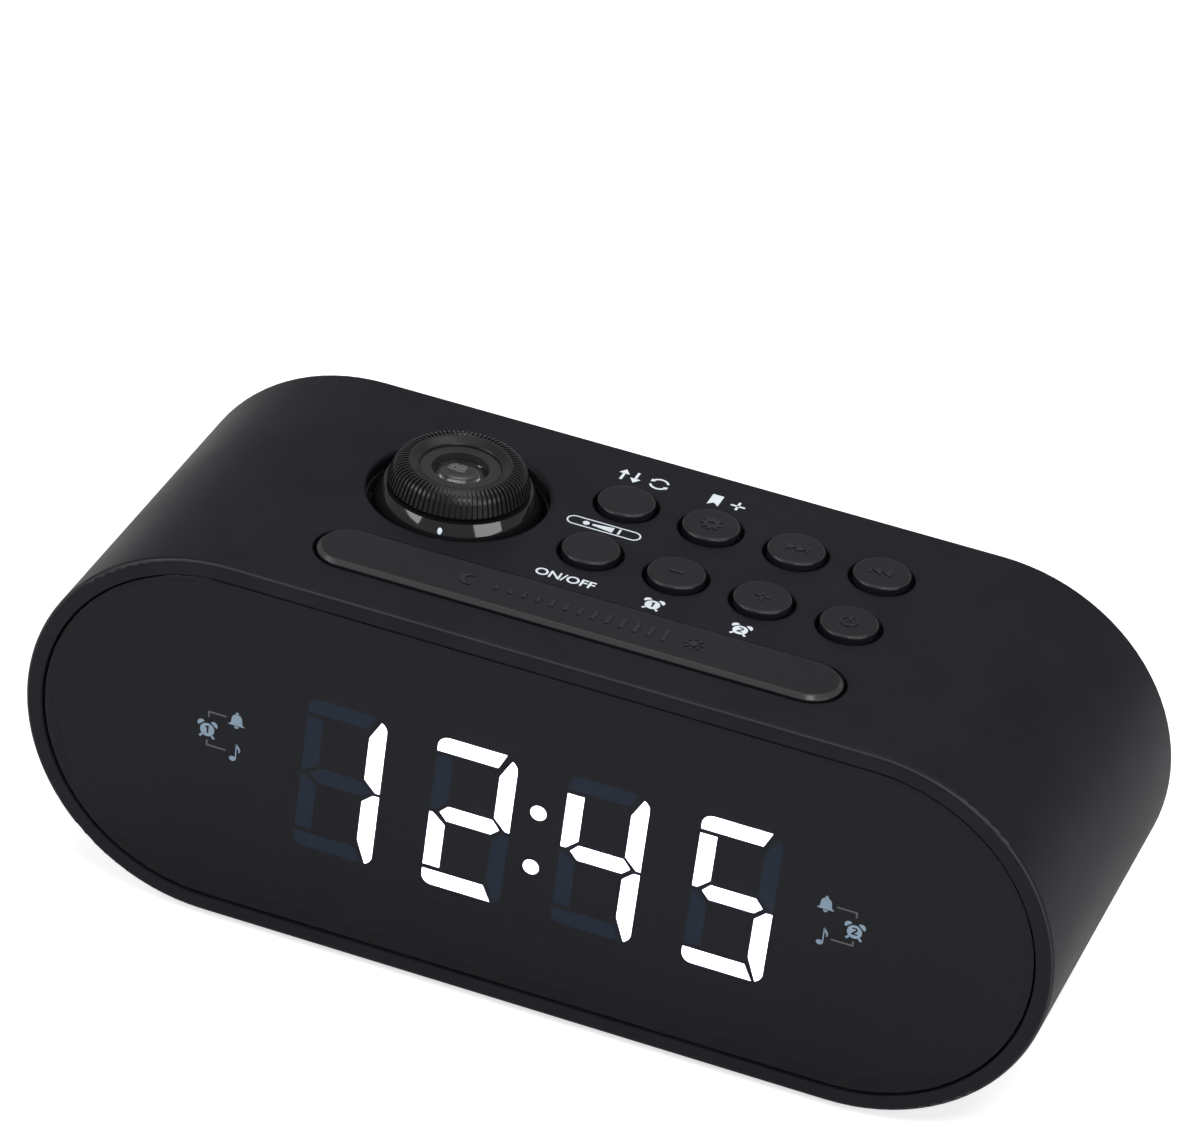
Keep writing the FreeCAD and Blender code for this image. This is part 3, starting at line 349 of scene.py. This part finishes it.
def filled(name, shapes, thickness, bevel=0.0, inset=0.0):
    """A mesh of flat filled shapes. A shape is a list of loops; inner loops are holes."""
    mesh = bmesh.new()
    for loops in shapes:
        curve = bpy.data.curves.new("outline", "CURVE")
        curve.dimensions = "2D"
        curve.fill_mode = "BOTH"
        curve.extrude = (thickness / 2 - bevel) * MM
        curve.bevel_depth = bevel * MM
        curve.bevel_resolution = 2
        curve.offset = -(bevel + inset) * MM
        for loop in loops:
            spline = curve.splines.new("POLY")
            spline.points.add(len(loop) - 1)
            for point, (x, y) in zip(spline.points, loop):
                point.co = (x * MM, y * MM, 0, 1)
            spline.use_cyclic_u = True
        holder = bpy.data.objects.new("outline", curve)
        bpy.context.scene.collection.objects.link(holder)
        flat = bpy.data.meshes.new_from_object(holder)
        mesh.from_mesh(flat)
        bpy.data.objects.remove(holder)
        bpy.data.curves.remove(curve)
        bpy.data.meshes.remove(flat)
    bmesh.ops.remove_doubles(mesh, verts=mesh.verts, dist=merge_distance)
    bmesh.ops.recalc_face_normals(mesh, faces=mesh.faces)
    data = bpy.data.meshes.new(name)
    mesh.to_mesh(data)
    mesh.free()
    return data


def place(name, data, turn, x, y, z, body, material):
    """Puts a mesh at a place in millimetres and lets it ride on a body."""
    data.transform(Matrix.Translation((x * MM, y * MM, z * MM)) @ turn)
    data.materials.clear()
    data.materials.append(material)
    piece = bpy.data.objects.new(name, data)
    bpy.context.scene.collection.objects.link(piece)
    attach(piece, body)
    return piece


def words(name, text, size):
    """Filled letters from the built-in typeface, centred on the origin."""
    curve = bpy.data.curves.new(name, "FONT")
    curve.body = text
    curve.size = size * MM
    curve.align_x = "CENTER"
    curve.align_y = "CENTER"
    curve.offset = letter_boldness * MM
    curve.extrude = print_thickness / 2 * MM
    holder = bpy.data.objects.new(name, curve)
    bpy.context.scene.collection.objects.link(holder)
    data = bpy.data.meshes.new_from_object(holder)
    bpy.data.objects.remove(holder)
    bpy.data.curves.remove(curve)
    return data


# Display: four seven-segment digits and a colon that show the time

digit_width = 14.4
digit_height = 30.0
digit_pitch = 23.5
segment_width = 3.0
segment_gap = 0.8
segment_round = 1.9
segment_clearance = 0.02
segment_play = 0.02
segment_bevel = 0.08
digit_slant = math.tan(math.radians(1.4))
colon_radius = 1.45
colon_spread = 11.0
display_x = (diffuser_low[0] + diffuser_high[0]) / 2
display_z = (diffuser_low[2] + diffuser_high[2]) / 2
segments_lit = {"1": "bc", "2": "abged", "4": "fgbc", "5": "afgcd"}
shown_time = "1245"


def segment_outlines():
    """Each segment's corners about the digit's middle. The bars close the rounded
    left corners, and the right corners are cut slanting."""
    outer_x, outer_z = digit_width / 2, digit_height / 2
    inner_x, inner_z = outer_x - segment_width, outer_z - segment_width
    half, gap = segment_width / 2, segment_gap
    turn_x, turn_z = outer_x - segment_round, outer_z - segment_round
    top = arc(-turn_x, turn_z, segment_round, 180, 90, 8) + [
        (outer_x - 0.7 * segment_width, outer_z), (inner_x - gap / 2, inner_z), (-outer_x, inner_z)]
    bottom = arc(-turn_x, -turn_z, segment_round, 180, 270, 8) + [
        (outer_x - 0.6 * segment_width, -outer_z), (inner_x - gap / 2, -inner_z), (-outer_x, -inner_z)]
    upper_right = arc(turn_x, turn_z - gap, segment_round, 0, 65, 8) + [
        (inner_x, inner_z - 2 * gap), (inner_x, 2.5 * gap), (outer_x - gap, -gap / 4), (outer_x, -gap / 4)]
    lower_right = arc(turn_x, -turn_z, segment_round, 0, -68, 8) + [
        (inner_x, -inner_z + 2 * gap), (inner_x, -3.2 * gap), (outer_x - 1.4 * gap, -gap), (outer_x, -gap)]
    upper_left = [(-outer_x, inner_z - gap), (-inner_x, inner_z - gap), (-inner_x, 2.8 * gap),
                  (-outer_x + 1.2 * gap, gap / 2), (-outer_x, gap / 2)]
    lower_left = [(-outer_x, -inner_z + gap), (-inner_x, -inner_z + gap), (-inner_x, -3 * gap),
                  (-outer_x + 0.8 * gap, -gap / 2), (-outer_x, -gap / 2)]
    cross = [(-inner_x - 1.5 * gap, 0), (-inner_x + gap / 4, half), (inner_x - gap / 4, half),
             (inner_x + 1.5 * gap, -gap / 4), (inner_x - gap / 4, -half), (-inner_x + gap / 4, -half)]
    return {"a": top, "b": upper_right, "c": lower_right, "d": bottom, "e": lower_left,
            "f": upper_left, "g": cross}


def build_segment(name, outline, x, lit):
    """A diffuser in the block behind the window, lit, or dark with a faint painted glow."""
    depth = diffuser_high[1] - diffuser_low[1]
    data = filled(name, [[outline]], depth - segment_play, segment_bevel, segment_clearance)
    finish = segment_on if lit else dark_segment_glow
    y = diffuser_low[1] + depth / 2
    piece = place(name, data, TO_FRONT, x, y, display_z, "root", finish)
    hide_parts("segment_diffusers")


def build_display():
    middle = (len(shown_time) - 1) / 2
    for number, figure in enumerate(shown_time):
        x = display_x + (number - middle) * digit_pitch
        for letter, outline in segment_outlines().items():
            loop = [(px + pz * digit_slant, pz) for px, pz in outline]
            build_segment(f"digit_{number + 1}_segment_{letter}", loop, x,
                          letter in segments_lit[figure])
    for name, side in (("colon_low", -1), ("colon_high", 1)):
        height = side * colon_spread / 2
        build_segment(name, circle(height * digit_slant, height, colon_radius, 40), display_x, True)


# Pictograms, each drawn in millimetres about its own middle

NUMERALS = {
    "1": [(-0.1, -0.75), (0.25, -0.75), (0.25, 0.75), (-0.05, 0.75), (-0.45, 0.4), (-0.25, 0.2),
          (-0.1, 0.32)],
    "2": [(-0.55, -0.75), (0.55, -0.75), (0.55, -0.45), (-0.02, -0.45), (0.5, 0.1), (0.52, 0.45),
          (0.25, 0.75), (-0.25, 0.75), (-0.52, 0.45), (-0.2, 0.38), (-0.1, 0.48), (0.12, 0.48),
          (0.2, 0.3), (-0.55, -0.48)],
}


def alarm_clock(numeral):
    """A round clock with two bells and two feet, the numeral left open in its face."""
    bell_x, bell_y = 1.12, 1.02
    face = [circle(0, -0.1, 1.3, 40), NUMERALS[numeral]]
    shapes = [face]
    for side in (-1, 1):
        dome = [(side * x, y) for x, y in arc(0, 0, 0.72, 0, 180, 12)]
        tilt = math.radians(-42 * side)
        turned = [(x * math.cos(tilt) - y * math.sin(tilt) + side * bell_x,
                   x * math.sin(tilt) + y * math.cos(tilt) + bell_y) for x, y in dome]
        shapes.append([turned])
        shapes.append([stroke([(side * 0.85, -1.15), (side * 1.35, -1.65)], 0.4)])
    return shapes


def bell():
    dome = arc(0, 0.25, 0.95, 180, 0, 18)
    skirt = [(1.05, -0.6), (1.55, -1.05), (-1.55, -1.05), (-1.05, -0.6)]
    clapper = arc(0, -1.2, 0.42, 180, 360, 10)
    return [[dome + skirt], [clapper], [circle(0, 1.35, 0.28, 16)]]


def note():
    head = [(x * 1.25, y) for x, y in circle(-0.3, -1.35, 0.48, 20)]
    stem = stroke([(0.18, -1.3), (0.18, 1.7)], 0.22)
    flag = [(0.1, 1.7), (0.3, 1.7), (0.95, 0.75), (0.85, 0.05), (0.62, 0.1), (0.62, 0.6), (0.1, 1.05)]
    return [[head], [stem], [flag]]


def turn_arrows():
    """Two arrows chasing each other round a ring."""
    shapes = []
    radius, sweep = 1.55, 125
    head_length, head_half = 0.75, 0.5
    for start in (20, 200):
        line = arc(0, 0, radius, start, start + sweep, 14)
        shapes.append([stroke(line, 0.42)])
        angle = math.radians(start + sweep)
        end_x, end_y = radius * math.cos(angle), radius * math.sin(angle)
        along_x, along_y = -math.sin(angle), math.cos(angle)
        out_x, out_y = math.cos(angle), math.sin(angle)
        shapes.append([[(end_x + along_x * head_length, end_y + along_y * head_length),
                        (end_x + out_x * head_half, end_y + out_y * head_half),
                        (end_x - out_x * head_half, end_y - out_y * head_half)]])
    return shapes


def swap_arrows():
    """One arrow up and one down: the picture turned over."""
    shapes = []
    for x, way in ((-1.15, 1), (1.15, -1)):
        shapes.append([stroke([(x, -1.7 * way), (x, 0.5 * way)], 0.45)])
        shapes.append([[(x - 0.95, 0.4 * way), (x + 0.95, 0.4 * way), (x, 1.8 * way)]])
    return shapes


def bookmark():
    return [[[(-1.0, -1.75), (0, -0.85), (1.0, -1.75), (1.0, 1.75), (-1.0, 1.75)]]]


def beam():
    """A projector's lamp, its widening beam and the wall it falls on."""
    return [[circle(-3.0, 0, 0.6, 20)], [[(-1.9, -0.22), (1.9, -0.8), (1.9, 0.8), (-1.9, 0.22)]],
            [stroke([(3.0, -0.85), (3.0, 0.85)], 0.4)]]


def triangle(direction):
    """A mark that points right, or left with a direction of -1."""
    return [(-0.8 * direction, -0.9), (0.8 * direction, 0), (-0.8 * direction, 0.9)]


def skip_marks(direction):
    """Two triangles one after the other and a bar."""
    shapes = [[moved(triangle(direction), shift * direction, 0)] for shift in (-0.9, 0.9)]
    shapes.append([stroke([(2.0 * direction, -0.9), (2.0 * direction, 0.9)], 0.35)])
    return shapes


def power_mark():
    return [[stroke(arc(0, -0.1, 1.4, 125, 415, 24), 0.36)], [stroke([(0, 0.1), (0, 1.75)], 0.36)]]


def gear_mark():
    outline = []
    for tooth in range(8):
        for offset, radius in ((-13, 1.35), (-8, 1.85), (8, 1.85), (13, 1.35)):
            angle = math.radians(tooth * 45 + offset)
            outline.append((radius * math.cos(angle), radius * math.sin(angle)))
    return [[outline, circle(0, 0, 0.65, 20)]]


def minus_mark():
    return [[stroke([(-1.3, 0), (1.3, 0)], 0.45)]]


def plus_mark():
    return [[stroke([(-1.3, 0), (1.3, 0)], 0.45)], [stroke([(0, -1.3), (0, 1.3)], 0.45)]]


def moon():
    outer = arc(0, 0, 1.6, 60, 300, 24)
    inner = arc(0.95, 0, 1.6, 240, 120, 18)
    return [[outer + inner]]


def sun():
    shapes = [[circle(0, 0, 0.75, 24)]]
    for ray in range(8):
        angle = math.radians(ray * 45)
        shapes.append([stroke([(1.1 * math.cos(angle), 1.1 * math.sin(angle)),
                               (1.75 * math.cos(angle), 1.75 * math.sin(angle))], 0.3)])
    return shapes


def dashes(count, pitch):
    """A row of strokes that grow from left to right, as on a dimmer."""
    start = -(count - 1) * pitch / 2
    shapes = []
    for number in range(count):
        x = start + number * pitch
        reach = 0.6 + 1.1 * number / count
        shapes.append([stroke([(x, -reach), (x, reach)], 0.75)])
    return shapes


# Marks on the window, each with its place across and its height

window_left_x = -53.3
window_right_x = 52.4
hook_width = 0.3
window_marks = (
    ("window_bell_left", bell(), window_left_x, 41.9),
    ("window_alarm_one", alarm_clock("1"), window_left_x - 5.2, 38.5),
    ("window_note_left", note(), window_left_x + 0.1, 35.5),
    ("window_bell_right", bell(), window_right_x, 40.4),
    ("window_alarm_two", alarm_clock("2"), window_right_x + 5.4, 36.7),
    ("window_note_right", note(), window_right_x + 0.1, 34.0),
)
window_hooks = (
    ("window_hook_1", window_left_x, ((-5.1, 41.0), (-5.1, 42.1), (-1.9, 42.1))),
    ("window_hook_2", window_left_x, ((-5.1, 36.4), (-5.1, 35.4), (-1.6, 35.4))),
    ("window_hook_3", window_right_x, ((1.9, 40.4), (5.4, 40.4), (5.4, 39.4))),
    ("window_hook_4", window_right_x, ((1.6, 33.8), (5.4, 33.8), (5.4, 34.7))),
)


def printed_window(name, shapes, x, z, material):
    data = filled(name, shapes, print_thickness)
    place(name, data, TO_FRONT, x, window_front - print_rise, z, "root", material)


def build_window_marks():
    for name, shapes, x, z in window_marks:
        printed_window(name, shapes, x, z, print_grey)
    for name, middle_x, corners in window_hooks:
        points = [(middle_x + x, z) for x, z in corners]
        printed_window(name, [[stroke(points, hook_width)]], 0, 0, bracket_grey)


# Marks printed on the top, each with its key and its shift from the key's middle

above_back_keys = 9.3
above_front_keys = 8.5
word_shift = -9.7
below_alarm_keys = -10.0
pill_half = 5.3
pill_radius = 1.4
pill_hole = 1.12


def on_top(name, data, key, right, back):
    x, y = key_centres[key]
    place(name, data, TO_TOP, x + right, y + back, case_top + print_rise, "root",
          print_white)


def printed_top(name, shapes, key, right, back):
    on_top(name, filled(name, shapes, print_thickness), key, right, back)


def pill(radius):
    return arc(pill_half, 0, radius, -90, 90, 16) + arc(-pill_half, 0, radius, 90, 270, 16)


def build_top_marks():
    printed_top("mark_swap", swap_arrows(), "flip_key", -2.8, above_back_keys)
    printed_top("mark_turn", turn_arrows(), "flip_key", 2.6, above_back_keys)
    printed_top("mark_bookmark", bookmark(), "memory_key", -2.5, above_back_keys)
    printed_top("mark_plus", plus_mark(), "memory_key", 1.6, above_back_keys)
    outline = [pill(pill_radius), pill(pill_hole)]
    printed_top("mark_pill", [outline], "projection_key", -0.8, above_front_keys)
    printed_top("mark_beam", beam(), "projection_key", -1.0, above_front_keys)
    on_off = words("mark_on_off", "ON/OFF", letter_size)
    on_top("mark_on_off", on_off, "projection_key", -0.9, word_shift)
    printed_top("mark_alarm_one", alarm_clock("1"), "alarm_one_key", -0.5, below_alarm_keys)
    printed_top("mark_alarm_two", alarm_clock("2"), "alarm_two_key", -0.3, below_alarm_keys)


# Low relief on the keys and on the snooze bar

key_designs = {
    "memory_key": gear_mark(),
    "forward_key": skip_marks(1),
    "back_key": skip_marks(-1),
    "alarm_one_key": minus_mark(),
    "alarm_two_key": plus_mark(),
    "power_key": power_mark(),
}
snooze_end_x = 20
snooze_designs = (
    ("snooze_moon", moon(), -snooze_end_x),
    ("snooze_dashes", dashes(count=13, pitch=2.5), 0),
    ("snooze_sun", sun(), snooze_end_x),
)


def relief(name, shapes, x, y, z, body):
    data = filled(name, shapes, relief_height, relief_bevel)
    place(name, data, TO_TOP, x, y, z + relief_rise, body, relief_black)


def build_reliefs():
    for node, shapes in key_designs.items():
        x, y = key_centres[node]
        relief(node + "_relief", shapes, x, y, key_top, node.replace("_key", "_button"))
    bar_y = (bar_low[1] + bar_high[1]) / 2
    bar_top = bar_high[2]
    for name, shapes, x in snooze_designs:
        relief(name, shapes, x, bar_y, bar_top, "snooze")


# White dot on the glossy ball, at its front

ball_radius = 15.0
ball_top_above_centre = 7.8
index_dot_rise = math.radians(25.5)
index_dot_aside = math.radians(8.5)
index_dot_half_sizes = (0.42, 0.06, 0.60)


def build_index_dot():
    centre_z = ball_top - ball_top_above_centre
    mesh = bmesh.new()
    bmesh.ops.create_uvsphere(mesh, u_segments=24, v_segments=12, radius=1.0)
    bmesh.ops.scale(mesh, vec=index_dot_half_sizes, verts=mesh.verts)
    data = bpy.data.meshes.new("index_dot")
    mesh.to_mesh(data)
    mesh.free()
    for face in data.polygons:
        face.use_smooth = True
    data.transform(Matrix.Scale(MM, 4))
    turn = Matrix.Rotation(index_dot_aside, 4, "Z") @ Matrix.Rotation(-index_dot_rise, 4, "X")
    outward = turn @ Vector((0, -ball_radius, 0))
    place("index_dot", data, turn, head_x + outward.x, head_y + outward.y, centre_z + outward.z, "head",
          print_white)


build_display()
build_window_marks()
build_top_marks()
build_reliefs()
build_index_dot()


# Camera, solved from the case's outline in the photograph. The scale is the case's real width
# over the width that the outline was solved with.

photo_scale = 0.968421
camera_right = 272.427 * photo_scale
camera_distance = 855.982 * photo_scale
camera_height = 654.638 * photo_scale
camera_place = Vector((camera_right, case_front - camera_distance, case_foot + camera_height))
view_direction = Vector((-0.25043, 0.80917, -0.53153)).normalized()
camera_roll = math.radians(-6.66)
camera_lens = 190.15


def build_camera():
    level_right = view_direction.cross(Vector((0, 0, 1))).normalized()
    level_down = view_direction.cross(level_right)
    right = level_right * math.cos(camera_roll) + level_down * math.sin(camera_roll)
    down = view_direction.cross(right)
    data = bpy.data.cameras.new("camera")
    data.lens = camera_lens
    data.sensor_width = 36.0
    data.clip_start = 0.01
    data.clip_end = 20.0
    camera = bpy.data.objects.new("camera", data)
    rows = Matrix((right, -down, -view_direction)).transposed().to_4x4()
    camera.matrix_world = Matrix.Translation(camera_place * MM) @ rows
    bpy.context.scene.collection.objects.link(camera)
    bpy.context.scene.camera = camera


# Lights, world and floor, in metres and watts

light_aim = Vector((0, 0, 0.04))
world_light = 0.36
white_to_camera = 1.0
floor_radius = 4.0
floor_shade = 0.82
floor_glow = 0.62


def softbox(name, middle, width, height, power):
    """A bright panel that faces the clock."""
    data = bpy.data.lights.new(name, "AREA")
    data.shape = "RECTANGLE"
    data.size = width
    data.size_y = height
    data.energy = power
    lamp = bpy.data.objects.new(name, data)
    lamp.location = middle
    lamp.rotation_euler = (light_aim - Vector(middle)).to_track_quat("-Z", "Y").to_euler()
    bpy.context.scene.collection.objects.link(lamp)


def build_lights():
    softbox("softbox_left", (-0.80, -0.62, 0.62), width=0.75, height=0.5, power=5.6)
    softbox("softbox_right", (1.05, -0.45, 0.55), width=0.85, height=0.5, power=5.8)
    softbox("softbox_top", (0.0, 0.35, 1.15), width=0.9, height=0.7, power=3.8)
    softbox("softbox_front", (0.36, -0.56, 0.86), width=0.30, height=0.16, power=2.6)


def build_world():
    """White to the camera, and a plain grey level for the light."""
    world = bpy.data.worlds.new("studio")
    bpy.context.scene.world = world
    world.use_nodes = True
    nodes, links = world.node_tree.nodes, world.node_tree.links
    background = nodes["Background"]
    path = nodes.new("ShaderNodeLightPath")
    level = nodes.new("ShaderNodeMapRange")
    level.inputs["To Min"].default_value = world_light
    level.inputs["To Max"].default_value = white_to_camera
    links.new(path.outputs["Is Camera Ray"], level.inputs["Value"])
    links.new(level.outputs["Result"], background.inputs["Strength"])
    background.inputs["Color"].default_value = (1, 1, 1, 1)


def build_floor():
    """A pale floor that keeps a soft shadow and fades to white."""
    mesh = bmesh.new()
    bmesh.ops.create_circle(mesh, cap_ends=True, segments=64, radius=floor_radius)
    data = bpy.data.meshes.new("floor")
    mesh.to_mesh(data)
    mesh.free()
    floor = bpy.data.objects.new("floor", data)
    bpy.context.scene.collection.objects.link(floor)
    material, nodes, links, shader = new_material("floor")
    shader.inputs["Base Color"].default_value = (floor_shade, floor_shade, floor_shade, 1)
    shader.inputs["Roughness"].default_value = 0.9
    shader.inputs["Specular IOR Level"].default_value = 0.0
    shader.inputs["Emission Color"].default_value = (1, 1, 1, 1)
    path = nodes.new("ShaderNodeLightPath")
    level = nodes.new("ShaderNodeMath")
    level.operation = "MULTIPLY"
    level.inputs[1].default_value = floor_glow
    links.new(path.outputs["Is Camera Ray"], level.inputs[0])
    links.new(level.outputs["Value"], shader.inputs["Emission Strength"])
    data.materials.append(material)


build_camera()
build_lights()
build_world()
build_floor()
bpy.context.scene.view_settings.view_transform = "Standard"
